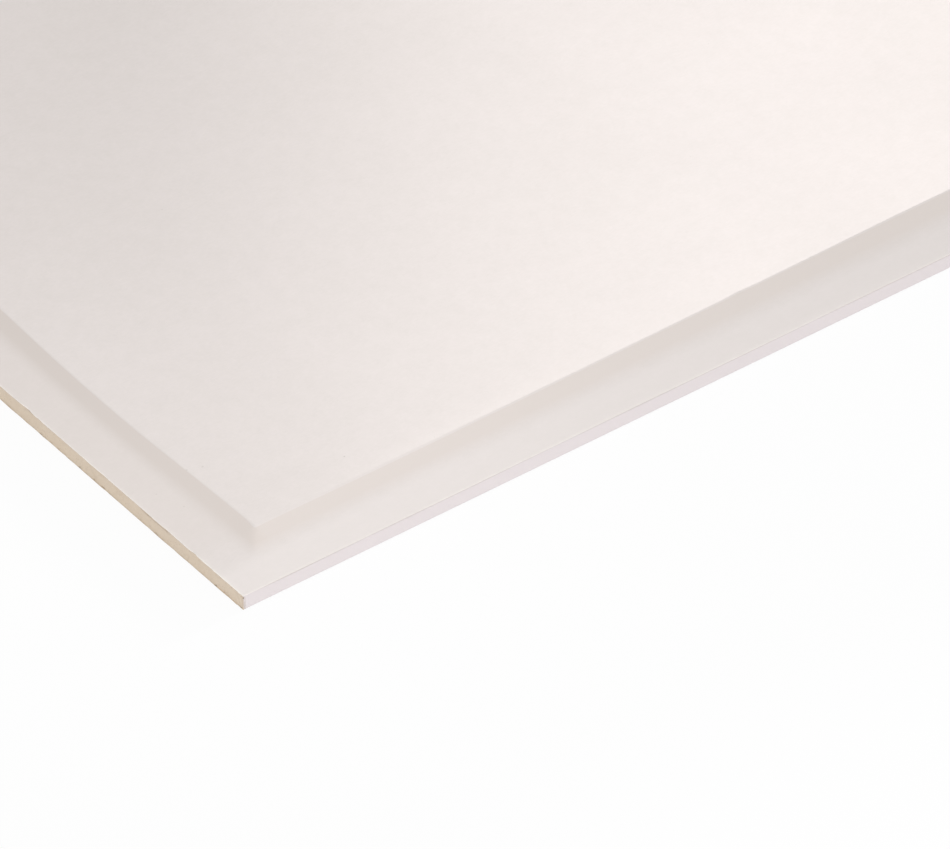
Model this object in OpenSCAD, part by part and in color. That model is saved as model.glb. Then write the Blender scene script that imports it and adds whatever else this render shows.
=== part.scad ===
// Drywall sheet, thinned along all four edges, lying face up on its back.
// A gypsum core is held between two papers. The face paper folds round both long edges and ends as flaps
// under the sheet, and the back paper laps over the flaps. Both ends are sawn square and show the core.
// The length runs along X and the width along Y. The origin is under the middle of the back.

/* [Sheet] */
// Length of the sheet, from one sawn end to the other
sheet_length = 2400; // [600:10:3600]
// Width of the sheet, from one folded edge to the other
sheet_width = 1200; // [400:10:1300]
// Thickness of the sheet between its thinned edges
sheet_thickness = 12.5; // [9:0.5:25]

/* [Thinned edges] */
// Width of the ramp along each long edge
long_ramp_width = 17; // [5:1:40]
// Width of the shelf between that ramp and the long edge
long_shelf_width = 27; // [10:1:60]
// Width of the ramp along each end
end_ramp_width = 14; // [5:1:40]
// Width of the shelf between that ramp and the end
end_shelf_width = 27; // [10:1:60]
// Drop of every ramp below the face
ramp_drop = 1.6; // [0.3:0.1:2.2]
// Further fall of every shelf on its way out to the edge
shelf_fall = 0.5; // [0:0.05:0.6]

/* [Paper] */
// Thickness of the face paper
face_thickness = 0.4; // [0.2:0.05:0.6]
// Thickness of the back paper
back_thickness = 0.4; // [0.2:0.05:0.6]
// Radius round the outside of each fold of the face paper
fold_radius = 1; // [0.8:0.1:3]
// Width of each flap of face paper, from the long edge inwards
flap_width = 25; // [15:1:60]
// Distance from each long edge to the side of the back paper
back_margin = 6; // [4:1:12]

/* [Hidden] */

// How far a cutting shape runs past the faces that it cuts
overrun = 2;
$fn = 64;

half_length = sheet_length / 2;
half_width = sheet_width / 2;
foot_height = sheet_thickness - ramp_drop;
shelf_slope = atan(shelf_fall / long_shelf_width);

// Middles of the two folds along the right long edge, seen along the sheet
fold_out = half_width - fold_radius;
upper_fold = [
    fold_out,
    foot_height - tan(shelf_slope) * (long_shelf_width - fold_radius) - fold_radius / cos(shelf_slope)
];
lower_fold = [fold_out, back_thickness + fold_radius];

// A right-hand outline, from the bottom up, joined to its own mirror image
function both_sides(right) = concat(
    right,
    [for (i = [len(right) - 1 : -1 : 0]) [-right[i].x, right[i].y]]
);

// Section across the sheet inside the face paper's outer surface, deeper in by inset, folds included
module wrapped_section(inset) {
    radius = fold_radius - inset;
    polygon(both_sides([
        lower_fold - [0, radius],
        lower_fold + [radius, 0],
        upper_fold + [radius, 0],
        upper_fold + radius * [sin(shelf_slope), cos(shelf_slope)],
        [half_width - long_shelf_width, foot_height - inset],
        [half_width - long_shelf_width - long_ramp_width, sheet_thickness - inset]
    ]));
    for (side = [-1, 1])
        for (fold = [upper_fold, lower_fold])
            translate([side * fold.x, fold.y])
                circle(r = radius);
}

// Section across the core: inside the face paper, and down to the back paper between the flaps
module core_section() {
    wrapped_section(face_thickness);
    translate([flap_width - half_width, back_thickness])
        square([sheet_width - 2 * flap_width, 2 * face_thickness]);
}

// Section along the sheet under its face, deeper in by inset, with its ends moved out by past
module end_section(inset, past) {
    polygon(both_sides([
        [half_length + past, 0],
        [half_length + past, foot_height - inset - shelf_fall * (1 + past / end_shelf_width)],
        [half_length - end_shelf_width, foot_height - inset],
        [half_length - end_shelf_width - end_ramp_width, sheet_thickness - inset]
    ]));
}

// A section across the sheet, carried along its length and thinned at both ends
module thinned_sheet(inset, past) {
    intersection() {
        rotate([90, 0, 90])
            linear_extrude(sheet_length + 2 * past, center = true)
                children();
        rotate([90, 0, 0])
            linear_extrude(sheet_width + 2 * overrun, center = true)
                end_section(inset, past);
    }
}

// Set gypsum, open to view at both sawn ends
module gypsum_core() {
    color("#d4c4b4")
        thinned_sheet(face_thickness, 0)
            core_section();
}

// One sheet of paper over the face, round both long edges and under the back as two flaps
module face_paper() {
    color("#ebe3df")
        difference() {
            thinned_sheet(0, 0)
                wrapped_section(0);
            thinned_sheet(face_thickness, overrun)
                core_section();
        }
}

// Flat paper over the back, lapping over both flaps and stopping short of the long edges
module back_paper() {
    color("#b3a898")
        translate([-half_length, back_margin - half_width, 0])
            cube([sheet_length, sheet_width - 2 * back_margin, back_thickness]);
}

gypsum_core();
face_paper();
back_paper();
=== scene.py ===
"""A drywall sheet lying face up: folded face paper, a sawn gypsum core, back paper and a plain studio."""

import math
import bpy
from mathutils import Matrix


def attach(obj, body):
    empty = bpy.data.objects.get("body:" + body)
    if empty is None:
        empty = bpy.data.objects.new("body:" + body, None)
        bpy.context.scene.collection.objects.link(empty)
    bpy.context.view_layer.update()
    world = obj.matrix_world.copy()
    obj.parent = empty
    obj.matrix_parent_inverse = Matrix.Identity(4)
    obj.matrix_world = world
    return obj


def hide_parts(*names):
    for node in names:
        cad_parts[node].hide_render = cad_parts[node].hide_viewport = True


bl_info = {
    "name": "Drywall Sheet",
    "version": (1, 0, 0),
    "blender": (4, 5, 0),
    "location": "View3D > Sidebar > Drywall",
    "description": "Builds a drywall sheet thinned along its edges, and a plain studio to show it in",
    "category": "Object",
}

from collections import namedtuple

import bpy
import numpy as np
from bpy.props import FloatProperty, FloatVectorProperty, PointerProperty
from mathutils import Vector

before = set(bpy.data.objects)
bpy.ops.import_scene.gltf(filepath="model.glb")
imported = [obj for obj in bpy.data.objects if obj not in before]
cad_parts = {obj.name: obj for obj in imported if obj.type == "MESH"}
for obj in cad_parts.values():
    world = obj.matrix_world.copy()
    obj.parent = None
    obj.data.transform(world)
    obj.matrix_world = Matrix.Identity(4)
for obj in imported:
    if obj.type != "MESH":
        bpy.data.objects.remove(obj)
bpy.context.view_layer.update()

MM = 0.001
TOUCH = 0.01 * MM


# Sizes that the frame gives, in metres

def node_points(node):
    """Every corner of a frame node's mesh, as an array."""
    return np.array([vertex.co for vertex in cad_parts[node].data.vertices])


PAPER_X, PAPER_Y, PAPER_Z = node_points("face_paper").T
HALF_LENGTH, HALF_WIDTH, FACE_HEIGHT = PAPER_X.max(), PAPER_Y.max(), PAPER_Z.max()
PAPER = HALF_WIDTH - node_points("gypsum_core")[:, 1].max()
BACK_HALF_WIDTH, BACK = node_points("back_paper").max(axis=0)[1:]

ON_FACE = PAPER_Z > FACE_HEIGHT - TOUCH
END_BAND = HALF_LENGTH - PAPER_X[ON_FACE].max()
LONG_BAND = HALF_WIDTH - PAPER_Y[ON_FACE].max()
EDGE_HEIGHT = PAPER_Z[PAPER_X > HALF_LENGTH - TOUCH].max()
FLAP = HALF_WIDTH - np.abs(PAPER_Y[PAPER_Z < BACK + TOUCH]).min()
NEAR_CORNER = Vector((-HALF_LENGTH, -HALF_WIDTH, EDGE_HEIGHT))

# Sizes of the paper's folds, from the outermost line of each long edge

LIP_WIDTH = 0.5 * MM
LIP_HEIGHT = 0.35 * MM
LIP_SPREAD = 0.8 * MM
EDGE_SETBACK = 0.15 * MM
EDGE_BULGE = 0.08 * MM
LOWER_FOLD = 0.3 * MM
FOLD_DROOP = 0.3 * MM
BAND_START = LIP_WIDTH + 0.5 * LIP_SPREAD

# Heights. The face is sunk a little, so that the relief on it stays inside the frame's box

FACE_SINK = 0.17 * MM
FACE_TOP = FACE_HEIGHT - FACE_SINK
LIP_TOP = EDGE_HEIGHT - FACE_SINK
CREASE_HEIGHT = LIP_TOP - 0.65 * MM
CREASE_HALF_HEIGHT = 0.32 * MM

# How softly the planes of the thinned edges meet, and how their lines wander

LINE_BLEND = 0.5 * MM
MITRE_BLEND = 0.3 * MM
LEAST_MITRE = 0.02
LINE_FADE = 4
FAR_WANDER = 2

# Faults that the sheet shows, placed from its near left corner

Nick = namedtuple("Nick", "place reach depth")

WOBBLE_PLACE = 384 * MM
WOBBLE_REACH = 5 * MM
WOBBLE_SHIFT = 0.5 * MM
END_NARROWING_START = 20 * MM
END_NARROWING_SPAN = 340 * MM
END_NARROWING_POWER = 1.8
LONG_NARROWING_START = 50 * MM
LONG_NARROWING_SPAN = 440 * MM
RIDGE_START = 20 * MM
RIDGE_END = 380 * MM
RIDGE_RISE = 0.12 * MM
RIDGE_WIDTH = 6.5 * MM
NICKS = (
    Nick(place=47 * MM, reach=3.5 * MM, depth=0.5 * MM),
    Nick(place=31 * MM, reach=2.0 * MM, depth=0.3 * MM),
    Nick(place=205 * MM, reach=4.0 * MM, depth=0.4 * MM),
)
NOTCH_DEPTH = 1.6 * MM
NOTCH_HALF_HEIGHT = 0.8 * MM
CHIP_PLACE = 1.5 * MM
CHIP_REACH = 1.1 * MM
CHIP_DEPTH = 2.8 * MM
CHIP_HEIGHT = LIP_TOP - 1.9 * MM
HOLLOW_START = 66 * MM
HOLLOW_END = 104 * MM
HOLLOW_FADE = 8 * MM
HOLLOW_DEPTH = 2.2 * MM
HOLLOW_HEIGHT = 1.0 * MM
SPECKS = ((48 * MM, 103 * MM), (20 * MM, 83 * MM), (39 * MM, 106 * MM), (14 * MM, 101 * MM))
SPECK_REACH = 0.55 * MM

# Relief that is too small to measure

FACE_WAVE = 0.03 * MM
EDGE_DENT = 0.06 * MM
FRAY_REACH = 2.2 * MM
RIM_CURL = 0.22 * MM
RIM_SWELL = 0.95 * MM
SWELL_TOP = 2.8 * MM
SWELL_FADE = 0.5 * MM
CORE_CLEARANCE = 0.02 * MM
CORE_SIDE = 1.4 * MM
CORE_ROUND = 0.5 * MM
CORE_RECESS = 0.2 * MM
BACK_SLIT = 0.3 * MM

# Random lines and surfaces: about how far apart their waves are, and the seed that they are drawn from

Wave = namedtuple("Wave", "step seed")

LEFT_END_LINE = Wave(70 * MM, 3)
RIGHT_END_LINE = Wave(110 * MM, 4)
NEAR_EDGE_LINE = Wave(90 * MM, 5)
FAR_EDGE_LINE = Wave(120 * MM, 6)
LIP_SWELLS = Wave(35 * MM, 7)
BROAD_WAVES = Wave(70 * MM, 8)
SHORT_WAVES = Wave(31 * MM, 9)
EDGE_DENTS = Wave(48 * MM, 10)
CREASE_DENTS = Wave(55 * MM, 11)
FINE_FRAY = Wave(1.7 * MM, 21)
BROAD_FRAY = Wave(9 * MM, 31)
RIM_CURLS = Wave(6 * MM, 41)
COARSE_SAWING = Wave(2.6 * MM, 51)
FINE_SAWING = Wave(1.1 * MM, 61)
SAWN_PITS = Wave(1.9 * MM, 71)
SAWN_CHIPS = Wave(17 * MM, 81)
BACK_FRAY = Wave(5 * MM, 91)
BACK_SLIT_LINE = Wave(60 * MM, 92)
NOISE_TABLE = (2048, 64)

# Spacing of the meshes

FINE_STEP = 1.2 * MM
COARSE_ACROSS = 10 * MM
COARSE_ALONG = 12 * MM
CORE_ACROSS = 4 * COARSE_ACROSS
INNER_STEP = 150 * MM
BACK_STEP = 4 * MM
FOLD_POINTS = 6
EDGE_POINTS = 8
SHELF_POINTS = 8
FOOT_POINTS = 8
RAMP_POINTS = 5
LINE_POINTS = np.array((-0.5, 0, 0.5, 1, 2, 4, 8, 14))
LINING_SKIP = 3
FRAY_ROWS = np.array((0, 0.18, 0.45, 1))
BACK_FRAY_ROWS = np.array((0, 0.3, 1))
END_BAND_START = 1.6 * FRAY_REACH
ROUND_POINTS = 5
SAWN_ROWS = 12
SAWN_ZONE = 3 * MM
CORE_BAND_START = 6 * MM
CORE_SKIP = 2
SHARP_ANGLE = math.radians(38)

# The photograph's frame, in pixels, and where the sheet's near corner stands in it

IMAGE_WIDTH = 950
IMAGE_HEIGHT = 849
CORNER_ACROSS = 243.1
CORNER_DOWN = 596.3


# Settings that a user may change

def size_property(name, description, default):
    """A length."""
    return FloatProperty(name=name, description=description, default=default, unit="LENGTH")


def colour_property(name, description, default):
    """A colour."""
    return FloatVectorProperty(
        name=name, description=description, default=default, subtype="COLOR", size=3, min=0, max=1)


def light_property(name, description, default):
    """The strength of a light."""
    return FloatProperty(name=name, description=description, default=default)


def angle_property(name, description, default):
    """An angle."""
    return FloatProperty(name=name, description=description, default=default, subtype="ANGLE")


class SheetSizes(bpy.types.PropertyGroup):
    """Sizes of the sheet's edges and of its finer relief."""

    long_ramp: size_property("Long ramp", "Width of the ramp along each long edge", 17 * MM)
    end_ramp: size_property("End ramp", "Width of the ramp along each sawn end", 14 * MM)
    ramp_drop: size_property("Ramp drop", "Drop of every ramp below the face", 1.6 * MM)
    foot_blend: size_property("Foot blend", "Reach over which a ramp's foot runs out", 4.5 * MM)
    line_wander: size_property("Line wander", "Sideways wander of a ramp's top line", 0.35 * MM)
    end_narrowing: size_property("End narrowing", "Most that the left end's band narrows", 3.7 * MM)
    long_narrowing: size_property("Long narrowing", "Most that the near band narrows", 1.25 * MM)
    lip_rise: size_property("Lip rise", "Rise of the folded lip above its shelf", 0.04 * MM)
    crease_depth: size_property("Crease depth", "Depth of the crease under the lip", 0.42 * MM)
    rim_fray: size_property("Rim fray", "Unevenness of the papers' cut rims", 0.3 * MM)
    saw_roughness: size_property("Saw roughness", "Unevenness of the sawn gypsum", 0.2 * MM)
    pit_depth: size_property("Pit depth", "Depth of the pits in the sawn gypsum", 0.6 * MM)


class SheetColours(bpy.types.PropertyGroup):
    """Colours of the sheet's papers and gypsum, and of the light and shade painted on them."""

    face: colour_property("Face", "Ivory face paper", (0.85, 0.79, 0.765))
    face_cloud: colour_property("Face clouds", "Thicker places in the face paper", (0.81, 0.755, 0.725))
    # Painted shade: the folded edge takes a cooler, darker copy of the face paper's colour.
    edge: colour_property("Shaded edge", "Painted shade: a cooler, darker copy of the face paper on the folded edge", (0.825, 0.765, 0.77))
    # Paler roughed paper at the sawn rims; the same colour is laid as painted highlight on the rims by the
    # near long edge and along the top of the lip.
    torn_and_highlight: colour_property("Torn paper and highlights", "Paler roughed paper at the sawn rims, also laid as painted highlight on the rims and the lip", (0.9, 0.855, 0.805))
    # Painted light: a paler tone on the outer shelf of each long edge.
    lit_shelf: colour_property("Lit shelves", "Painted light on the outer shelf of each long edge", (0.9, 0.845, 0.82))
    # Painted shade: a darker tone laid on the ramps of the thinned edges and on the end bands.
    band_shade: colour_property("Band shade", "Painted shade on the ramps and end bands", (0.79, 0.72, 0.675))
    # Painted shade: a darker brown laid in the crease under the lip and low on the edge paper by each sawn
    # end.
    painted_shade: colour_property("Painted shade", "Painted shade in the crease under the lip and low on the edge by each sawn end", (0.54, 0.465, 0.41))
    speck: colour_property("Specks", "Specks of bark in the face paper", (0.45, 0.40, 0.36))
    gypsum: colour_property("Gypsum", "Sawn gypsum", (0.665, 0.55, 0.43))
    gypsum_light: colour_property("Gypsum grains", "Paler grains in the gypsum", (0.76, 0.665, 0.555))
    # Painted shade for the gypsum: in its pits and recesses and under the face paper, where it is partly a
    # denser layer; it also darkens the foot.
    gypsum_dark: colour_property("Gypsum shade", "Painted shade in the gypsum's pits, recesses and under the face paper, partly a denser layer, and a darker foot", (0.47, 0.38, 0.28))
    back: colour_property("Back", "Grey back paper", (0.45, 0.40, 0.33))
    back_light: colour_property("Back fibres", "Pale fibres in the back paper", (0.62, 0.57, 0.49))
    back_dark: colour_property("Back flecks", "Dark flecks in the back paper", (0.24, 0.20, 0.16))


class StageSettings(bpy.types.PropertyGroup):
    """The floor, the lamps and the camera."""

    floor: colour_property("Floor", "Floor under the sheet", (0.9, 0.9, 0.9))
    floor_lift: FloatProperty(
        name="Floor lift", description="Share of plain white in the floor as seen",
        default=0.94, subtype="FACTOR")
    world: light_property("Surroundings", "Light from all round", 0.59)
    fill: light_property("Fill", "Strength of the low soft light from the front", 1.14)
    side: light_property("Side light", "Strength of the low light from the right", 0.9)
    skim: light_property("Skimming light", "Brightness that the low beams on the right add", 0.103)
    corner: light_property("Corner lamp", "Power of the soft lamp over the corner", 0.31)
    overhead: light_property("Overhead lamp", "Power of the broad lamp over the right half", 2.0)
    graze: light_property("Grazing light", "Brightness that the low beams behind add by the corner", 0.31)
    sweep: light_property("Sweeping light", "Brightness that the low beams behind add farther off", 0.11)
    view_azimuth: angle_property("View azimuth", "Turn of the view from +Y", math.radians(36.94))
    view_elevation: angle_property("View elevation", "Height of the camera", math.radians(39.98))
    view_width: size_property("View width", "Width that the picture takes in", 0.535)
    lens: FloatProperty(name="Lens", description="Focal length", default=1200, unit="CAMERA")


# Shapes of lines and surfaces

def soft_low(first, second, width):
    """The lower of two heights, rounded where they come within width of each other."""
    near = np.maximum(width - np.abs(first - second), 0) / width
    return np.minimum(first, second) - near * near * width / 4


def soft_high(first, second, width):
    """The higher of two heights, rounded where they come within width of each other."""
    return -soft_low(-first, -second, width)


def bell(places, middle, reach):
    """A smooth bump of height 1 round middle."""
    return np.exp(-((places - middle) / reach) ** 2)


def ease(values):
    """A share from 0 to 1 that leaves both ends gently."""
    share = np.clip(values, 0, 1)
    return share * share * (3 - 2 * share)


def swing(places, start, span):
    """A single smooth swing from 0 to 1 and back."""
    return np.sin(np.pi * np.clip((places - start) / span, 0, 1))


def wander(places, wave, side=0):
    """Smooth random values from -1 to 1 along a line, drawn apart for each side."""
    table = np.random.default_rng(wave.seed + side).uniform(-1, 1, NOISE_TABLE[0])
    steps = places / wave.step
    whole = np.floor(steps).astype(int)
    share = ease(steps - whole)
    return table[whole % len(table)] * (1 - share) + table[(whole + 1) % len(table)] * share


def grain(along, across, wave, side=0):
    """Smooth random values from -1 to 1 over a surface, drawn apart for each side."""
    table = np.random.default_rng(wave.seed + side).uniform(-1, 1, NOISE_TABLE)
    rows, columns = table.shape
    row_steps, column_steps = along / wave.step, across / wave.step
    row, column = np.floor(row_steps).astype(int), np.floor(column_steps).astype(int)
    down, right = ease(row_steps - row), ease(column_steps - column)

    def on_row(number):
        """Values between the two nearest columns of a row of the table."""
        left_values = table[number % rows, column % columns]
        right_values = table[number % rows, (column + 1) % columns]
        return left_values * (1 - right) + right_values * right

    return on_row(row) * (1 - down) + on_row(row + 1) * down


def edge_drop(inward, band, ramp, sizes):
    """Drop below the face at a distance in from an edge: none, then a ramp, then a gently falling shelf."""
    shelf = band - ramp
    shelf_fall = FACE_HEIGHT - EDGE_HEIGHT - sizes.ramp_drop
    ramp_slope, shelf_slope = sizes.ramp_drop / ramp, shelf_fall / shelf
    ramp_line = ramp_slope * (band - inward)
    shelf_line = sizes.ramp_drop + shelf_slope * (shelf - inward)
    thinned = soft_low(ramp_line, shelf_line, sizes.foot_blend * (ramp_slope - shelf_slope))
    return soft_high(thinned, 0 * inward, LINE_BLEND * ramp_slope)


def face_drop(x, y, sizes):
    """Drop of the thinned edges below the face, mitred at the sheet's corners."""
    long_drop = edge_drop(HALF_WIDTH - np.abs(y), LONG_BAND, sizes.long_ramp, sizes)
    end_drop = edge_drop(HALF_LENGTH - np.abs(x), END_BAND, sizes.end_ramp, sizes)
    shared = np.clip(np.minimum(long_drop, end_drop) / sizes.ramp_drop, LEAST_MITRE, 1)
    return soft_high(long_drop, end_drop, MITRE_BLEND * shared)


def line_weight(inward, band):
    """How far a place follows the ramp's top line: not at the edge, fully at the line, less beyond it."""
    return np.clip(inward / band, 0, 1) * (1 - ease((inward - band) / (LINE_FADE * band)))


def wandering(x, y, sizes):
    """Sideways moves, along and across, that let the ramps' top lines wander as they do on a real sheet."""
    left, near = x < 0, y < 0
    from_end, from_side = x + HALF_LENGTH, y + HALF_WIDTH
    end_narrowing = swing(from_side, END_NARROWING_START, END_NARROWING_SPAN) ** END_NARROWING_POWER
    long_narrowing = swing(from_end, LONG_NARROWING_START, LONG_NARROWING_SPAN)
    wobble = WOBBLE_SHIFT * bell(from_end, WOBBLE_PLACE, WOBBLE_REACH)
    end_shift = np.where(
        left,
        sizes.end_narrowing * end_narrowing + sizes.line_wander * wander(from_side, LEFT_END_LINE),
        FAR_WANDER * sizes.line_wander * wander(from_side, RIGHT_END_LINE))
    long_shift = np.where(
        near,
        sizes.long_narrowing * long_narrowing + sizes.line_wander * wander(from_end, NEAR_EDGE_LINE)
        - wobble,
        FAR_WANDER * sizes.line_wander * wander(from_end, FAR_EDGE_LINE))
    along = end_shift * np.where(left, -1, 1) * line_weight(HALF_LENGTH - np.abs(x), END_BAND)
    across = long_shift * np.where(near, -1, 1) * line_weight(HALF_WIDTH - np.abs(y), LONG_BAND)
    return along, across


# The face paper's section across the sheet

Section = namedtuple("Section", "y z on_top normal girth")


def fold_points(sizes):
    """Inward places and heights of the paper from a flap's end up to the lip over the long edge."""
    flap_places = np.linspace(FLAP, EDGE_SETBACK + LOWER_FOLD, FOLD_POINTS, endpoint=False)
    flap = np.column_stack((flap_places, np.full(len(flap_places), BACK)))
    fold_foot = BACK - FOLD_DROOP
    turn = np.linspace(0, np.pi / 2, FOLD_POINTS)
    lower = np.column_stack((
        EDGE_SETBACK + LOWER_FOLD * (1 - np.sin(turn)), fold_foot + LOWER_FOLD * (1 - np.cos(turn))))
    lip_foot = LIP_TOP - LIP_HEIGHT
    heights = np.concatenate((
        np.linspace(fold_foot + LOWER_FOLD, CREASE_HEIGHT - 2 * CREASE_HALF_HEIGHT, EDGE_POINTS + 1)[1:],
        np.linspace(CREASE_HEIGHT - CREASE_HALF_HEIGHT, lip_foot, FOLD_POINTS)))
    rise = (heights - fold_foot - LOWER_FOLD) / (CREASE_HEIGHT - fold_foot - LOWER_FOLD)
    setback = EDGE_SETBACK * (1 - ease((heights - CREASE_HEIGHT) / (lip_foot - CREASE_HEIGHT)))
    bulge = EDGE_BULGE * np.sin(np.pi * np.clip(rise, 0, 1))
    crease = sizes.crease_depth * bell(heights, CREASE_HEIGHT, CREASE_HALF_HEIGHT)
    edge = np.column_stack((setback - bulge + crease, heights))
    turn = np.linspace(0, np.pi / 2, FOLD_POINTS + 1)[1:]
    lip = np.column_stack((
        LIP_WIDTH * (1 - np.cos(turn)), lip_foot + (LIP_HEIGHT + sizes.lip_rise) * np.sin(turn)))
    return np.concatenate((flap, lower, edge, lip))


def band_places(band, ramp, sizes, start):
    """Inward places over a thinned edge, close together where its planes meet."""
    foot = band - ramp
    return np.concatenate((
        np.linspace(start, foot - sizes.foot_blend, SHELF_POINTS),
        np.linspace(foot - sizes.foot_blend, foot + sizes.foot_blend, FOOT_POINTS)[1:],
        np.linspace(foot + sizes.foot_blend, band - LINE_BLEND, RAMP_POINTS)[1:],
        band + LINE_BLEND * LINE_POINTS))


def even_places(reach, step):
    """Places from -reach to reach, about a step apart."""
    return np.linspace(-reach, reach, round(2 * reach / step) + 1)


def from_both_ends(depths, middle):
    """Places along the sheet: depths in from its two ends, with the places of its middle between them."""
    return np.concatenate((depths - HALF_LENGTH, middle, HALF_LENGTH - depths[::-1]))


def across_section(sizes, field_step):
    """Stations round the sheet, from one flap's end over the face to the other's."""
    folds = fold_points(sizes)
    band = band_places(LONG_BAND, sizes.long_ramp, sizes, BAND_START)
    field = even_places(HALF_WIDTH - band[-1], field_step)[1:-1]
    near_y = np.concatenate((folds[:, 0], band)) - HALF_WIDTH
    y = np.concatenate((near_y, field, -near_y[::-1]))
    top_count = len(y) - 2 * len(folds)
    z = np.concatenate((folds[:, 1], np.zeros(top_count), folds[::-1, 1]))
    on_top = np.concatenate((np.zeros(len(folds)), np.ones(top_count), np.zeros(len(folds)))) > 0
    nominal = np.where(on_top, FACE_HEIGHT - face_drop(0 * y, y, sizes), z)
    girth = np.concatenate(([0], np.cumsum(np.hypot(np.diff(y), np.diff(nominal)))))
    slope_y, slope_z = np.gradient(y), np.gradient(nominal)
    size = np.hypot(slope_y, slope_z)
    normal = np.column_stack((-slope_z / size, slope_y / size))
    return Section(y, z, on_top, normal, girth)


def rim_retreat(section, side, sizes):
    """How far the cut rim lies in from the sawn end: a fine fray, a few nicks and a notch in one corner."""
    fine, broad = wander(section.girth, FINE_FRAY, side), wander(section.girth, BROAD_FRAY, side)
    retreat = sizes.rim_fray * (0.4 + 0.35 * fine + 0.25 * broad)
    for nick in NICKS:
        retreat = retreat + nick.depth * bell(section.y * side, HALF_WIDTH - nick.place, nick.reach)
    notch = NOTCH_DEPTH * bell(section.z, CHIP_HEIGHT, NOTCH_HALF_HEIGHT)
    at_corner = ~section.on_top & (section.y * side > 0)
    return np.maximum(retreat + notch * at_corner, 0)


def paper_surface(x, section, sizes):
    """Places of the face paper's outer surface at each length x and each station of the section."""
    x, y = np.meshgrid(x, section.y, indexing="ij")
    along, across = wandering(x, y, sizes)
    inward, from_end = HALF_WIDTH - np.abs(y), x + HALF_LENGTH
    swell = 1 + 0.4 * wander(from_end, LIP_SWELLS)
    lip = sizes.lip_rise * swell * bell(inward, LIP_WIDTH, LIP_SPREAD)
    waves = FACE_WAVE * (grain(x, y, BROAD_WAVES) + 0.5 * grain(x, y, SHORT_WAVES))
    ridge = RIDGE_RISE * ease(1 - np.abs(inward - LONG_BAND) / RIDGE_WIDTH) * (
        ease((from_end - RIDGE_START) / RIDGE_START) * ease((RIDGE_END - from_end) / RIDGE_END))
    top = FACE_TOP - face_drop(x, y, sizes) + lip + waves + ridge
    z = np.where(section.on_top, top, section.z)
    dent = EDGE_DENT * (1 + wander(from_end, EDGE_DENTS)) * (section.z > BACK + TOUCH)
    deepening = 0.5 * sizes.crease_depth * wander(from_end, CREASE_DENTS)
    dent = dent + deepening * bell(section.z, CREASE_HEIGHT, CREASE_HALF_HEIGHT)
    side = np.where(y < 0, -1, 1)
    y = np.where(section.on_top, y + across, y - side * dent)
    x = np.where(section.on_top, x + along, x)
    return np.stack((x, y, z), axis=-1)


def fray_rim(places, inward, section, side, sizes):
    """Moves the rows of paper beside a sawn end in to the frayed rim, and curls them up a little."""
    fade = (1 - inward / FRAY_REACH)[:, None]
    places[..., 0] -= side * rim_retreat(section, side, sizes) * fade
    curl = RIM_CURL * (0.5 + 0.5 * wander(section.girth, RIM_CURLS, side))
    places[..., 2] += np.where(section.on_top, curl, 0) * fade ** 2
    return places


def under_paper(places, section, depth):
    """The same places, moved in from the paper's outer surface."""
    moved = places.copy()
    moved[..., 1:] -= np.reshape(depth, (-1, 1)) * section.normal
    return moved


def rim_depth(section):
    """Thickness of the paper at its cut rims, where the saw has pulped it down each long edge."""
    above_fold = section.z - BACK - LOWER_FOLD
    below_top = LIP_TOP - SWELL_TOP - section.z
    return PAPER + RIM_SWELL * ease(above_fold / SWELL_FADE) * ease(below_top / SWELL_FADE) * ~section.on_top


# Gathering a mesh

def add_object(name, data):
    """A new object in the scene."""
    thing = bpy.data.objects.new(name, data)
    bpy.context.scene.collection.objects.link(thing)
    return thing


class Draft:
    """The points and faces of one mesh, gathered block by block."""

    def __init__(self):
        self.points = []
        self.faces = []
        self.count = 0

    def block(self, places):
        """Adds an array of points and returns their numbers in the same layout."""
        flat = places.reshape(-1, 3)
        numbers = np.arange(self.count, self.count + len(flat)).reshape(places.shape[:-1])
        self.points.append(flat)
        self.count += len(flat)
        return numbers

    def skin(self, numbers, flip=False):
        """Covers a block with squares, facing along its rows crossed with its columns."""
        corners = (numbers[:-1, :-1], numbers[1:, :-1], numbers[1:, 1:], numbers[:-1, 1:])
        squares = np.stack([corner.ravel() for corner in corners], axis=1)
        self.faces.extend((squares[:, ::-1] if flip else squares).tolist())

    def zip(self, first, second, first_places, second_places, flip):
        """Joins two rows of different spacing with triangles, as a zip closes."""
        i = j = 0
        while i < len(first) - 1 or j < len(second) - 1:
            step_first = j == len(second) - 1 or (
                i < len(first) - 1 and first_places[i + 1] <= second_places[j + 1])
            corner = first[i + 1] if step_first else second[j + 1]
            triangle = [int(first[i]), int(second[j]), int(corner)]
            self.faces.append(triangle[::-1] if flip else triangle)
            i, j = (i + 1, j) if step_first else (i, j + 1)

    def build(self, name, material):
        """Makes the mesh object, smooth with sharp edges."""
        mesh = bpy.data.meshes.new(name)
        mesh.from_pydata(np.concatenate(self.points).tolist(), [], self.faces)
        mesh.polygons.foreach_set("use_smooth", np.ones(len(mesh.polygons), dtype=bool))
        mesh.set_sharp_from_angle(angle=SHARP_ANGLE)
        mesh.materials.append(material)
        mesh.validate()
        return add_object(name, mesh)


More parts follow.
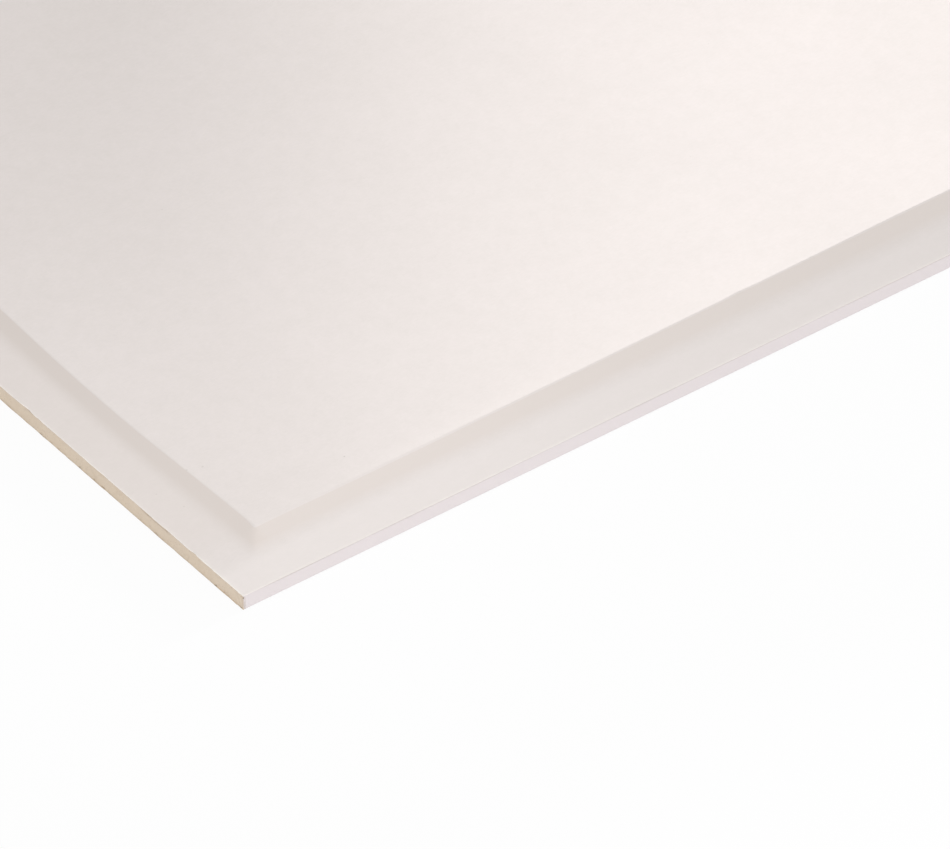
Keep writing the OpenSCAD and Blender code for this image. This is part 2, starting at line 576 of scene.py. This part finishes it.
def face_paper_draft(sizes):
    """The face paper as one closed sheet, with dense strips at its cut rims."""
    coarse, fine = across_section(sizes, COARSE_ACROSS), across_section(sizes, FINE_STEP)
    strip = FRAY_REACH * FRAY_ROWS
    band = band_places(END_BAND, sizes.end_ramp, sizes, END_BAND_START)
    inner = HALF_LENGTH - band[-1]
    lengths = from_both_ends(band, even_places(inner, COARSE_ALONG)[1:-1])
    lining_lengths = from_both_ends(band[:-1:LINING_SKIP], even_places(inner, INNER_STEP))

    draft = Draft()
    outer = draft.block(paper_surface(lengths, coarse, sizes))
    draft.skin(outer)
    lining = draft.block(under_paper(paper_surface(lining_lengths, coarse, sizes), coarse, PAPER))
    draft.skin(lining, flip=True)

    strips, rims = {}, {}
    for side, end in ((-1, 0), (1, -1)):
        flip = side > 0
        places = paper_surface(side * (HALF_LENGTH - strip), fine, sizes)
        places = fray_rim(places, strip, fine, side, sizes)
        strips[side] = draft.block(places)
        rims[side] = draft.block(under_paper(places[:1], fine, rim_depth(fine)))
        draft.skin(strips[side], flip)
        draft.skin(np.concatenate((rims[side], strips[side][:1])), flip)
        draft.zip(strips[side][-1], outer[end], fine.girth, coarse.girth, flip)
        draft.zip(lining[end], rims[side][0], coarse.girth, fine.girth, flip)

    outer_places = from_both_ends(strip, lengths)
    lining_places = from_both_ends(strip[:1], lining_lengths)
    for flap_end, flip in ((0, False), (-1, True)):
        outer_row = np.concatenate((
            strips[-1][:, flap_end], outer[:, flap_end], strips[1][::-1, flap_end]))
        lining_row = np.concatenate((
            rims[-1][:, flap_end], lining[:, flap_end], rims[1][:, flap_end]))
        draft.zip(outer_row, lining_row, outer_places, lining_places, flip)
    return draft


def core_outline(x, y, sizes):
    """Lowest and highest places of the gypsum at each length and each place across."""
    side = HALF_WIDTH - CORE_SIDE - np.abs(y)
    corner = CORE_ROUND - np.sqrt(np.maximum(CORE_ROUND ** 2 - np.maximum(CORE_ROUND - side, 0) ** 2, 0))
    over_flap = np.abs(y) > HALF_WIDTH - FLAP
    low = np.where(over_flap, BACK + PAPER, BACK) + CORE_CLEARANCE
    high = FACE_TOP - face_drop(x, y, sizes) - PAPER - CORE_CLEARANCE
    return low + corner, high - corner


def core_columns(step):
    """Places across the gypsum, close together at its sides and beside the flaps' ends."""
    side = HALF_WIDTH - CORE_SIDE
    flap_end = HALF_WIDTH - FLAP
    rounded = side - CORE_ROUND * (1 - np.cos(np.linspace(0, np.pi / 2, ROUND_POINTS)))
    half = np.concatenate((
        rounded,
        np.linspace(rounded[-1], flap_end + TOUCH, max(round(FLAP / step), 2) + 1)[1:],
        np.linspace(flap_end - TOUCH, 0, round(flap_end / step) + 1)))
    return np.concatenate((-half, half[-2::-1]))


def sawn_depth(y, z, top, side, sizes):
    """How far the sawn gypsum lies in from the end: rough, pitted and hollowed under the paper in places."""
    rough = 0.6 * grain(y, z, COARSE_SAWING, side) + 0.4 * grain(y, z, FINE_SAWING, side)
    pits = ease((grain(y, z, SAWN_PITS, side) - 0.55) / 0.4)
    chipped = ease((wander(y, SAWN_CHIPS, side) - 0.25) / 0.5)
    from_corner = HALF_WIDTH - y * side
    past_start = ease((from_corner - HOLLOW_START) / HOLLOW_FADE)
    before_end = ease((HOLLOW_END - from_corner) / HOLLOW_FADE)
    hollow = np.where(side < 0, past_start * before_end, 0)
    under_rim = np.maximum(0.5 * chipped, hollow) * bell(z, top, HOLLOW_HEIGHT)
    chip = CHIP_DEPTH * bell(from_corner, CHIP_PLACE, CHIP_REACH) * bell(z, CHIP_HEIGHT, CHIP_REACH)
    return (
        CORE_RECESS + sizes.saw_roughness * (1 + rough) / 2 + sizes.pit_depth * pits
        + HOLLOW_DEPTH * under_rim + chip)


def gypsum_draft(sizes):
    """The gypsum as one closed block, with finely modelled sawn ends."""
    coarse, fine = core_columns(CORE_ACROSS), core_columns(FINE_STEP)
    band = band_places(END_BAND, sizes.end_ramp, sizes, CORE_BAND_START)
    depths = np.concatenate(((SAWN_ZONE,), band[::CORE_SKIP]))
    inner = HALF_LENGTH - depths[-1]
    lengths = from_both_ends(depths, even_places(inner, INNER_STEP)[1:-1])

    draft = Draft()
    x, y = np.meshgrid(lengths, coarse, indexing="ij")
    low, high = core_outline(x, y, sizes)
    under, over = np.stack((x, y, low), axis=-1), np.stack((x, y, high), axis=-1)
    numbers = draft.block(np.concatenate((under[:, ::-1], over), axis=1))
    rings = np.concatenate((numbers, numbers[:, :1]), axis=1)
    draft.skin(rings)
    ring_places = np.concatenate((
        -coarse[::-1] - HALF_WIDTH, coarse + HALF_WIDTH + TOUCH, (2 * HALF_WIDTH,)))

    share = np.linspace(0, 1, SAWN_ROWS)[:, None]
    climb = np.linspace(0, TOUCH, SAWN_ROWS)[1:]
    border_places = np.concatenate((
        -fine[::-1] - HALF_WIDTH, climb + fine[0] + HALF_WIDTH, fine[1:] + HALF_WIDTH + TOUCH,
        2 * HALF_WIDTH - CORE_SIDE + climb))
    border_places[-1] = 2 * HALF_WIDTH
    for side, end in ((-1, 0), (1, -1)):
        low, high = core_outline(np.full(len(fine), side * HALF_LENGTH), fine, sizes)
        z = low + share * (high - low)
        y = np.broadcast_to(fine, z.shape)
        depth = sawn_depth(y, z, high, side, sizes)
        sawn = draft.block(np.stack((side * (HALF_LENGTH - depth), y, z), axis=-1))
        draft.skin(sawn, flip=side > 0)
        border = np.concatenate((sawn[0, ::-1], sawn[1:, 0], sawn[-1, 1:], sawn[-2::-1, -1]))
        draft.zip(border, rings[end], border_places, ring_places, flip=side > 0)
    return draft


def back_paper_draft(sizes):
    """The back paper as one closed sheet with frayed ends."""
    across = even_places(BACK_HALF_WIDTH, BACK_STEP)
    strip = FRAY_REACH * BACK_FRAY_ROWS
    lengths = from_both_ends(strip[:-1], even_places(HALF_LENGTH - strip[-1], INNER_STEP))
    x, y = np.meshgrid(lengths, across, indexing="ij")
    fade = np.maximum(1 - (HALF_LENGTH - np.abs(x)) / FRAY_REACH, 0)
    fray = sizes.rim_fray * (0.5 + 0.5 * grain(y, x, BACK_FRAY))
    at_side = np.abs(y) > BACK_HALF_WIDTH - TOUCH
    slit = BACK_SLIT * (0.5 + 0.5 * wander(x + HALF_LENGTH, BACK_SLIT_LINE)) * at_side
    places = np.stack((x - np.sign(x) * fray * fade, y - np.sign(y) * slit, 0 * x), axis=-1)
    draft = Draft()
    under = draft.block(places)
    over = draft.block(places + (0, 0, BACK))
    draft.skin(under, flip=True)
    draft.skin(over)
    draft.skin(np.stack((under[:, 0], over[:, 0]), axis=1))
    draft.skin(np.stack((over[:, -1], under[:, -1]), axis=1))
    draft.skin(np.stack((under[0], over[0])))
    draft.skin(np.stack((over[-1], under[-1])))
    return draft


# Materials

class Wire:
    """One output of a material's node tree. Arithmetic on it adds Math nodes."""

    def __init__(self, tree, socket=None):
        self.tree = tree
        self.socket = socket

    def add(self, kind, settings=None, sockets=None, output=0):
        """Adds a node, sets it up, fills its sockets with values or links, and returns one output."""
        node = self.tree.nodes.new(kind)
        for name, value in (settings or {}).items():
            setattr(node, name, value)
        for name, value in (sockets or {}).items():
            if isinstance(value, Wire):
                self.tree.links.new(value.socket, node.inputs[name])
            else:
                node.inputs[name].default_value = value
        return Wire(self.tree, node.outputs[output] if node.outputs else None)

    def math(self, operation, first, second=0.0, clamp=False):
        """One step of arithmetic on values."""
        settings = {"operation": operation, "use_clamp": clamp}
        return self.add("ShaderNodeMath", settings, {0: first, 1: second})

    def __add__(self, other):
        return self.math("ADD", self, other)

    __radd__ = __add__

    def __sub__(self, other):
        return self.math("SUBTRACT", self, other)

    def __rsub__(self, other):
        return self.math("SUBTRACT", other, self)

    def __mul__(self, other):
        return self.math("MULTIPLY", self, other)

    __rmul__ = __mul__

    def __truediv__(self, other):
        return self.math("DIVIDE", self, other)

    def __rtruediv__(self, other):
        return self.math("DIVIDE", other, self)

    def __abs__(self):
        return self.math("ABSOLUTE", self)

    def larger(self, other):
        """The larger of two values."""
        return self.math("MAXIMUM", self, other)

    def above(self, edge, soft):
        """A mask that rises from 0 to 1 as the value passes edge, over the width soft."""
        return self.math("ADD", (self - edge) / soft, 0.5, clamp=True)

    def within(self, edge, soft):
        """A mask that falls from 1 to 0 as the value passes edge, over the width soft."""
        return 1 - self.above(edge, soft)

    def blend(self, start, end):
        """A colour that goes from start to end as this mask goes from 0 to 1."""
        sockets = {"Factor": self}
        for place, colour in ((6, start), (7, end)):
            sockets[place] = colour if isinstance(colour, Wire) else (*colour, 1.0)
        return self.add("ShaderNodeMix", {"data_type": "RGBA"}, sockets, output=2)

    def axis(self, name):
        """One of the three parts of these coordinates."""
        return self.add("ShaderNodeSeparateXYZ", None, {"Vector": self}, name)

    def stretched(self, factors):
        """These coordinates, multiplied part by part."""
        return self.add("ShaderNodeVectorMath", {"operation": "MULTIPLY"}, {0: self, 1: factors})

    def distance(self, place):
        """Distance of these coordinates from a place."""
        return self.add("ShaderNodeVectorMath", {"operation": "DISTANCE"}, {0: self, 1: place}, "Value")

    def noise(self, scale, detail=2.0, rough=0.5, stretch=(1, 1, 1)):
        """Cloudy values from 0 to 1 at these coordinates, with about scale clouds a metre."""
        sockets = {"Vector": self.stretched(stretch), "Scale": scale, "Detail": detail, "Roughness": rough}
        return self.add("ShaderNodeTexNoise", None, sockets)

    def dots(self, scale, radius, soft, share):
        """A mask of scattered dots: a share of the cells, each with a dot of that radius in metres."""
        settings, sockets = {"feature": "F1"}, {"Vector": self, "Scale": scale}
        distance = self.add("ShaderNodeTexVoronoi", settings, sockets, "Distance")
        cell = self.add("ShaderNodeTexVoronoi", settings, sockets, "Color")
        chosen = self.add("ShaderNodeSeparateColor", None, {"Color": cell}, "Red")
        return distance.within(radius * scale, soft * radius * scale) * chosen.within(share, 0.02)


# Where each finish and each painted light or shade starts and how softly: drops below the face, heights, or
# distances in from an edge

RAMP_TOP = (0.075 * MM, 0.05 * MM)
RAMP_FOOT = (1.4 * MM, 0.6 * MM)
SHELF_DROP = (1.55 * MM, 0.35 * MM)
END_SHADE_REACH = (END_BAND, 4 * MM)
PAST_CORNER = (45 * MM, 30 * MM)
LIT_SHELF = (24 * MM, 10 * MM)
EDGE_SIDE = (0.7 * MM, 0.3 * MM)
EDGE_TOP = (CREASE_HEIGHT, 0.3 * MM)
CREASE_SIDE = (0.9 * MM, 0.3 * MM)
CREASE_SHADE_BAND = (0.4 * MM, 0.4 * MM)
CLEAR_OF_END = (14 * MM, 10 * MM)
CREST_SIDE = (1.5 * MM, 0.6 * MM)
CREST_FOOT = (LIP_TOP - 0.6 * MM, 0.3 * MM)
LIP_FOOT = (LIP_TOP - 0.7 * MM, 0.4 * MM)
ROUGHED_REACH = 2.2 * MM
ROUGHED_SOFT = 0.6 * MM
HIGHLIGHT_CORNER = (50 * MM, 12 * MM)
HIGHLIGHT_PATCH = (0.55, 0.1)
LOW_EDGE_SHADE_REACH = (2 * MM, 0.6 * MM)
CUT_RIM = (0.5 * MM, 0.3 * MM)
FLAP_RIM = (0.8 * MM, 0.3 * MM)
FLAP_TOP = (BACK + PAPER + 0.4 * MM, 0.4 * MM)
UNDER_PAPER_SHADE = (EDGE_HEIGHT - PAPER - 0.7 * MM, 1.0 * MM)
DARKER_FOOT = (BACK + 0.4 * MM, 0.7 * MM)
RECESS_SHADE = (1.3 * MM, 0.8 * MM)
BACK_RIM = (1.6 * MM, 0.3 * MM)
BACK_STRAND = (0.66, 0.06)


def emptied(owner):
    """The node tree of a material or world, with nothing in it."""
    owner.use_nodes = True
    owner.node_tree.nodes.clear()
    return Wire(owner.node_tree)


def new_material(name):
    """An empty material and its coordinates, which every pattern starts from."""
    material = bpy.data.materials.new(name)
    return material, emptied(material).add("ShaderNodeTexCoord", None, None, "Object")


def inward_from_end(coordinates):
    """Distance in from the nearer sawn end."""
    return HALF_LENGTH - abs(coordinates.axis("X"))


def layered(colour, layers):
    """A colour with others laid over it in turn, each as far as its mask says."""
    for mask, layer in layers:
        colour = mask.blend(colour, layer)
    return colour


def finish_material(colour, roughness, height, bump_strength, bump_depth, specular):
    """Closes a material with a matte shader over a fine relief."""
    relief = height.add("ShaderNodeBump", None, {
        "Strength": bump_strength, "Distance": bump_depth, "Height": height}, "Normal")
    shader = colour.add("ShaderNodeBsdfPrincipled", None, {
        "Base Color": colour, "Roughness": roughness, "Normal": relief, "Specular IOR Level": specular})
    shader.add("ShaderNodeOutputMaterial", None, {"Surface": shader})


def speck_mask(coordinates):
    """Specks scattered over the face paper, and the few that are placed one by one."""
    large = coordinates.dots(scale=22, radius=0.45 * MM, soft=0.9, share=0.5)
    small = coordinates.dots(scale=60, radius=0.22 * MM, soft=0.9, share=0.35)
    specks = large * 0.45 + small * 0.5
    plan = coordinates.stretched((1, 1, 0))
    for from_end, from_side in SPECKS:
        distance = plan.distance((from_end - HALF_LENGTH, from_side - HALF_WIDTH, 0))
        specks = specks + 0.25 * distance.within(SPECK_REACH, SPECK_REACH)
    return specks


def face_paper_material(colours):
    """Matte ivory paper: clouds, fibres, specks and roughed rims, with painted shade on the ramps, end
    bands, folded edge, crease and low edge by the sawn ends, and painted light on the outer shelves, along
    the top of the lip and on the rims by the near long edge.
    """
    material, coordinates = new_material("ivory_face_paper")
    from_end, across, up = inward_from_end(coordinates), coordinates.axis("Y"), coordinates.axis("Z")
    from_side = HALF_WIDTH - abs(across)
    drop = FACE_TOP - up
    clouds = 0.4 * coordinates.noise(95, 3) + 0.3 * coordinates.noise(320, 2) + 0.3 * coordinates.noise(9, 2)
    fibres = coordinates.noise(900, 3, 0.6, stretch=(0.35, 1, 1))
    tooth = coordinates.noise(2600, 2)
    patches = coordinates.noise(22, 1)
    colour = (clouds * 2.8 + fibres * 1.2 - 1.5).blend(colours.face, colours.face_cloud)

    below_line = drop.above(*RAMP_TOP)
    by_end = from_end.within(*END_SHADE_REACH)
    # Painted shade: the ramps are darkened, more by the ends, and so are the end bands away from the long
    # edges.
    shaded_ramp = below_line * drop.within(*RAMP_FOOT)
    end_band_shade = below_line * by_end * from_side.above(*PAST_CORNER)
    # Painted light: the outer shelf of each long edge is made paler.
    lit_shelf = drop.above(*SHELF_DROP) * from_side.within(*LIT_SHELF)
    # Painted shade: a cooler, darker copy of the paper on the folded edge.
    shaded_edge = from_side.within(*EDGE_SIDE) * up.within(*EDGE_TOP)
    # Painted shade in the crease under the lip, in patches and clear of the ends.
    in_crease = from_side.within(*CREASE_SIDE) * abs(up - CREASE_HEIGHT).within(*CREASE_SHADE_BAND)
    crease_shade = in_crease * from_end.above(*CLEAR_OF_END) * patches
    # Painted highlight along the top of the lip.
    crest_highlight = from_side.within(*CREST_SIDE) * up.above(*CREST_FOOT)

    over_lip, under_lip = up.above(*LIP_FOOT), up.within(*LIP_FOOT)
    # Paler roughed paper at each sawn rim, with painted highlight added by the near long edge and in
    # patches.
    roughed = over_lip * from_end.within(ROUGHED_REACH - MM * fibres - 2 * MM * patches, ROUGHED_SOFT)
    highlit_rim = (across + HALF_WIDTH).within(*HIGHLIGHT_CORNER).larger(patches.above(*HIGHLIGHT_PATCH))
    # Painted shade on the paper below the lip within a little of each sawn end, strongest at the bottom.
    low_edge_shade = from_end.within(*LOW_EDGE_SHADE_REACH) * under_lip
    cut_rim = from_end.within(*CUT_RIM) * under_lip
    flap_rim = from_end.within(*FLAP_RIM) * up.within(*FLAP_TOP)

    # Over the paper's own tone: specks; painted shade and painted light on the bands, the folded edge, the
    # crease and the top of the lip; the roughed rims with their painted highlight; painted shade low by the
    # ends; and gypsum colour on the cut rims.
    colour = layered(colour, (
        (speck_mask(coordinates), colours.speck),
        (shaded_ramp * (0.75 + 0.2 * by_end), colours.band_shade),
        (end_band_shade * 0.35, colours.band_shade),
        (lit_shelf * 0.45, colours.lit_shelf),
        (shaded_edge, colours.edge),
        (crease_shade * 0.5, colours.painted_shade),
        (crest_highlight * 0.25, colours.torn_and_highlight),
        (roughed * (0.3 + 0.55 * highlit_rim), colours.torn_and_highlight),
        (low_edge_shade * (0.6 - up * (0.5 / EDGE_HEIGHT)), colours.painted_shade),
        (cut_rim * 0.85, colours.gypsum),
        (flap_rim * 0.9, colours.gypsum)))
    finish_material(
        colour, roughness=0.82 + 0.14 * fibres, height=0.6 * fibres + 0.4 * tooth,
        bump_strength=0.12, bump_depth=0.05 * MM, specular=0.0)
    return material


def gypsum_material(colours):
    """Sawn gypsum: tan, fine-grained and pitted, with painted shade in its pits and deep recesses, a darker
    band under the face paper that is partly painted shade and partly a denser layer, and a darker foot.
    """
    material, coordinates = new_material("sawn_tan_gypsum")
    from_end, up = inward_from_end(coordinates), coordinates.axis("Z")
    patches = coordinates.noise(60, 3)
    grains = coordinates.noise(1300, 4, 0.65)
    crystals = coordinates.dots(scale=700, radius=0.35 * MM, soft=0.8, share=0.3)
    # The pits darken the colour as painted shade and dent the relief.
    pits = coordinates.dots(scale=420, radius=0.3 * MM, soft=0.8, share=0.35)
    colour = (0.5 * patches + 0.7 * grains - 0.2).blend(colours.gypsum, colours.gypsum_light)
    colour = layered(colour, (
        (crystals * 0.5, colours.gypsum_light),
        (pits * 0.55, colours.gypsum_dark),
        # Darker just under the face paper, partly painted shade under its overhang and partly a denser
        # layer; darker at the foot.
        (up.above(*UNDER_PAPER_SHADE) * 0.35 + up.within(*DARKER_FOOT) * 0.2, colours.gypsum_dark),
        # Painted shade in the recesses that lie deeper than the sawn face.
        (from_end.above(*RECESS_SHADE) * 0.85, colours.gypsum_dark)))
    finish_material(
        colour, roughness=0.9 + 0.1 * grains, height=grains + 0.4 * patches - pits,
        bump_strength=0.6, bump_depth=0.12 * MM, specular=0.1)
    return material


def back_paper_material(colours):
    """Grey-brown recycled paper: clouds, pale fibres and dark flecks."""
    material, coordinates = new_material("grey_back_paper")
    clouds = coordinates.noise(70, 4)
    fibres = coordinates.noise(700, 3, 0.6, stretch=(0.3, 1, 1))
    strands = coordinates.noise(260, 1, stretch=(0.25, 1.6, 1)).above(*BACK_STRAND)
    flecks = coordinates.dots(scale=140, radius=0.6 * MM, soft=0.9, share=0.35)
    colour = (0.8 * clouds + 0.6 * fibres - 0.35).blend(colours.back, colours.back_light)
    colour = layered(colour, (
        (strands * 0.4, colours.back_light),
        (flecks * 0.6, colours.back_dark),
        (inward_from_end(coordinates).within(*BACK_RIM) * 0.9, colours.gypsum)))
    finish_material(
        colour, roughness=0.85 + 0.12 * fibres, height=0.7 * fibres + 0.3 * clouds,
        bump_strength=0.4, bump_depth=0.06 * MM, specular=0.15)
    return material


def seen(wire):
    """A mask that is 1 to the eye, straight, mirrored or through glass, and 0 to the light that is cast."""
    rays = [
        wire.add("ShaderNodeLightPath", None, None, output)
        for output in ("Is Camera Ray", "Is Glossy Ray", "Is Transmission Ray")]
    return rays[0].larger(rays[1].larger(rays[2]))


def floor_material(stage):
    """Plain pale floor that is lifted towards white where it is looked at, and still takes shadows."""
    material, coordinates = new_material("pale_floor")
    faint = coordinates.noise(3, 2)
    shade = tuple(0.98 * part for part in stage.floor)
    matte = faint.add("ShaderNodeBsdfPrincipled", None, {
        "Base Color": faint.blend(stage.floor, shade), "Roughness": 1.0, "Specular IOR Level": 0.0})
    white = faint.add("ShaderNodeEmission", None, {"Color": (1, 1, 1, 1), "Strength": 1.0})
    lift = seen(coordinates) * stage.floor_lift
    surface = lift.add("ShaderNodeMixShader", None, {0: lift, 1: matte, 2: white})
    surface.add("ShaderNodeOutputMaterial", None, {"Surface": surface})
    return material


# The studio

FLOOR_REACH = 60.0
FLOOR_GAP = 0.3 * MM
FLOOR_CORNERS = ((-1, -1), (1, -1), (1, 1), (-1, 1))
SENSOR = 36.0
CLIP_END = 100.0
UP = Vector((0, 0, 1))

CORNER_LAMP_OFFSET = (0.06, 0.02, 0.42)
CORNER_LAMP_SIZE = 0.3
OVERHEAD_PLACE = (0.95, 0.1, 0.9)
OVERHEAD_SIZE = 0.8

BEAM_DISTANCE = 25.0
BEAM_SMEAR = 0.15

# The low lights, with their angles in degrees: two suns, and the pools that three banks of beams light

Sun = namedtuple("Sun", "azimuth elevation softness")
Pool = namedtuple("Pool", "azimuth lowest highest beams aside behind half_width half_length")

SUNS = {
    "fill": Sun(azimuth=220, elevation=10, softness=16),
    "side": Sun(azimuth=358, elevation=11, softness=10),
}
POOLS = {
    "graze": Pool(
        azimuth=53, lowest=1.0, highest=2.3, beams=16,
        aside=0.52, behind=0.6, half_width=0.61, half_length=1.2),
    "sweep": Pool(
        azimuth=53, lowest=1.0, highest=2.3, beams=10,
        aside=1.25, behind=1.15, half_width=0.62, half_length=0.8),
    "skim": Pool(
        azimuth=358, lowest=8, highest=15, beams=8,
        aside=-0.6, behind=0.35, half_width=2.5, half_length=2.0),
}


def aim(thing, direction):
    """Turns a lamp or the camera to look along a direction."""
    thing.rotation_euler = direction.to_track_quat("-Z", "Y").to_euler()


def towards(azimuth, elevation):
    """Direction from the sheet to a lamp, by its turn from +X and its height in degrees."""
    turn, lift = math.radians(azimuth), math.radians(elevation)
    return Vector((math.cos(lift) * math.cos(turn), math.cos(lift) * math.sin(turn), math.sin(lift)))


def add_lamp(name, kind, place, direction, **settings):
    """A lamp that the camera doesn't see."""
    lamp = add_object(name, bpy.data.lights.new(name, kind))
    for setting, value in settings.items():
        setattr(lamp.data, setting, value)
    lamp.location = place
    lamp.visible_camera = False
    aim(lamp, direction)
    return lamp


def add_floor(stage):
    """A wide pale floor just under the sheet."""
    mesh = bpy.data.meshes.new("floor")
    corners = [(x * FLOOR_REACH, y * FLOOR_REACH, -FLOOR_GAP) for x, y in FLOOR_CORNERS]
    mesh.from_pydata(corners, [], [(0, 1, 2, 3)])
    mesh.materials.append(floor_material(stage))
    floor = add_object("floor", mesh)


def add_surroundings(stage):
    """Even light from all round, white to the eye."""
    world = bpy.data.worlds.new("surroundings")
    wire = emptied(world)
    background = wire.add("ShaderNodeBackground", None, {
        "Color": (1, 1, 1, 1), "Strength": stage.world + seen(wire) * (1 - stage.world)})
    wire.add("ShaderNodeOutputWorld", None, {"Surface": background})
    bpy.context.scene.world = world


def add_soft_lamps(stage):
    """Low soft lights from the front and the right, and lamps over the near corner and the right half."""
    for name, sun in SUNS.items():
        direction = towards(sun.azimuth, sun.elevation)
        softness = math.radians(sun.softness)
        add_lamp(name, "SUN", direction, -direction, energy=getattr(stage, name), angle=softness)
    corner = NEAR_CORNER + Vector(CORNER_LAMP_OFFSET)
    add_lamp("corner", "AREA", corner, -UP, energy=stage.corner, size=CORNER_LAMP_SIZE)
    add_lamp("overhead", "AREA", OVERHEAD_PLACE, -UP, energy=stage.overhead, size=OVERHEAD_SIZE)


def add_beams(name, brightness, pool):
    """A bank of flat beams from far off, which light one pool of the face and pass over the edges beyond."""
    back = towards(pool.azimuth, 0)
    target = NEAR_CORNER + back.cross(UP) * pool.aside + back * pool.behind
    for elevation in np.linspace(pool.lowest, pool.highest, pool.beams):
        direction = towards(pool.azimuth, elevation)
        climb = math.sin(math.radians(elevation))
        power = brightness / pool.beams * (2 * math.pi * BEAM_DISTANCE) ** 2 / climb
        beam = add_lamp(
            name, "SPOT", target + BEAM_DISTANCE * direction, -direction, energy=power, spot_blend=1.0,
            spot_size=2 * math.atan(pool.half_width / BEAM_DISTANCE), shadow_soft_size=BEAM_SMEAR * climb)
        beam.scale.y = pool.half_length / pool.half_width * climb


def add_camera(stage):
    """A long lens that puts the sheet's near corner where the photograph has it."""
    turn, lift = stage.view_azimuth, stage.view_elevation
    right = Vector((math.cos(turn), -math.sin(turn), 0))
    look = Vector((math.cos(lift) * math.sin(turn), math.cos(lift) * math.cos(turn), -math.sin(lift)))
    pixel = stage.view_width / IMAGE_WIDTH
    target = (
        NEAR_CORNER
        + right * pixel * (IMAGE_WIDTH / 2 - CORNER_ACROSS)
        + right.cross(look) * pixel * (CORNER_DOWN - IMAGE_HEIGHT / 2))
    camera = add_object("camera", bpy.data.cameras.new("camera"))
    camera.data.sensor_width = SENSOR
    camera.data.lens = stage.lens
    camera.data.clip_end = CLIP_END
    camera.location = target - look * (stage.view_width * stage.lens / SENSOR)
    aim(camera, look)
    bpy.context.scene.camera = camera


# Operators, panel and registration

def add_piece(context, name, node, draft, material):
    """Builds a piece, which stands for its frame node, hangs from the root body and takes its finish."""
    piece = draft(context.scene.drywall_sizes).build(name, material(context.scene.drywall_colours))
    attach(piece, "root")
    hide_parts(node)


class DRYWALL_OT_face_paper(bpy.types.Operator):
    """Lay the face paper over the sheet, round both long edges and under the back as flaps"""

    bl_idname = "drywall.face_paper"
    bl_label = "Face paper"

    def execute(self, context):
        add_piece(context, "folded_face_paper", "face_paper", face_paper_draft, face_paper_material)
        return {"FINISHED"}


class DRYWALL_OT_gypsum_core(bpy.types.Operator):
    """Cast the gypsum core and saw both of its ends"""

    bl_idname = "drywall.gypsum_core"
    bl_label = "Gypsum core"

    def execute(self, context):
        add_piece(context, "sawn_gypsum_core", "gypsum_core", gypsum_draft, gypsum_material)
        return {"FINISHED"}


class DRYWALL_OT_back_paper(bpy.types.Operator):
    """Lap the back paper over the flaps of the face paper"""

    bl_idname = "drywall.back_paper"
    bl_label = "Back paper"

    def execute(self, context):
        add_piece(context, "lapped_back_paper", "back_paper", back_paper_draft, back_paper_material)
        return {"FINISHED"}


class DRYWALL_OT_stage(bpy.types.Operator):
    """Set up the pale floor, the lamps and the camera"""

    bl_idname = "drywall.stage"
    bl_label = "Stage"

    def execute(self, context):
        stage = context.scene.drywall_stage
        context.scene.view_settings.view_transform = "Standard"
        add_floor(stage)
        add_surroundings(stage)
        add_soft_lamps(stage)
        for name, pool in POOLS.items():
            add_beams(name, getattr(stage, name), pool)
        add_camera(stage)
        return {"FINISHED"}


OPERATORS = (DRYWALL_OT_face_paper, DRYWALL_OT_gypsum_core, DRYWALL_OT_back_paper, DRYWALL_OT_stage)
GROUPS = {"drywall_sizes": SheetSizes, "drywall_colours": SheetColours, "drywall_stage": StageSettings}


class DRYWALL_PT_sheet(bpy.types.Panel):
    """Builds the sheet piece by piece"""

    bl_idname = "DRYWALL_PT_sheet"
    bl_label = "Drywall Sheet"
    bl_space_type = "VIEW_3D"
    bl_region_type = "UI"
    bl_category = "Drywall"

    def draw(self, context):
        for operator in OPERATORS:
            self.layout.operator(operator.bl_idname)
        for group in GROUPS:
            box = self.layout.box()
            settings = getattr(context.scene, group)
            for name in settings.bl_rna.properties.keys():
                if name not in ("rna_type", "name"):
                    box.prop(settings, name)


CLASSES = (*GROUPS.values(), *OPERATORS, DRYWALL_PT_sheet)


def register():
    """Adds the settings, the operators and the panel."""
    for item in CLASSES:
        bpy.utils.register_class(item)
    for name, group in GROUPS.items():
        setattr(bpy.types.Scene, name, PointerProperty(type=group))


def unregister():
    """Takes them out again."""
    for name in GROUPS:
        delattr(bpy.types.Scene, name)
    for item in reversed(CLASSES):
        bpy.utils.unregister_class(item)


def main():
    """Builds every piece and the stage."""
    register()
    bpy.ops.drywall.face_paper()
    bpy.ops.drywall.gypsum_core()
    bpy.ops.drywall.back_paper()
    bpy.ops.drywall.stage()


if __name__ == "__main__":
    main()
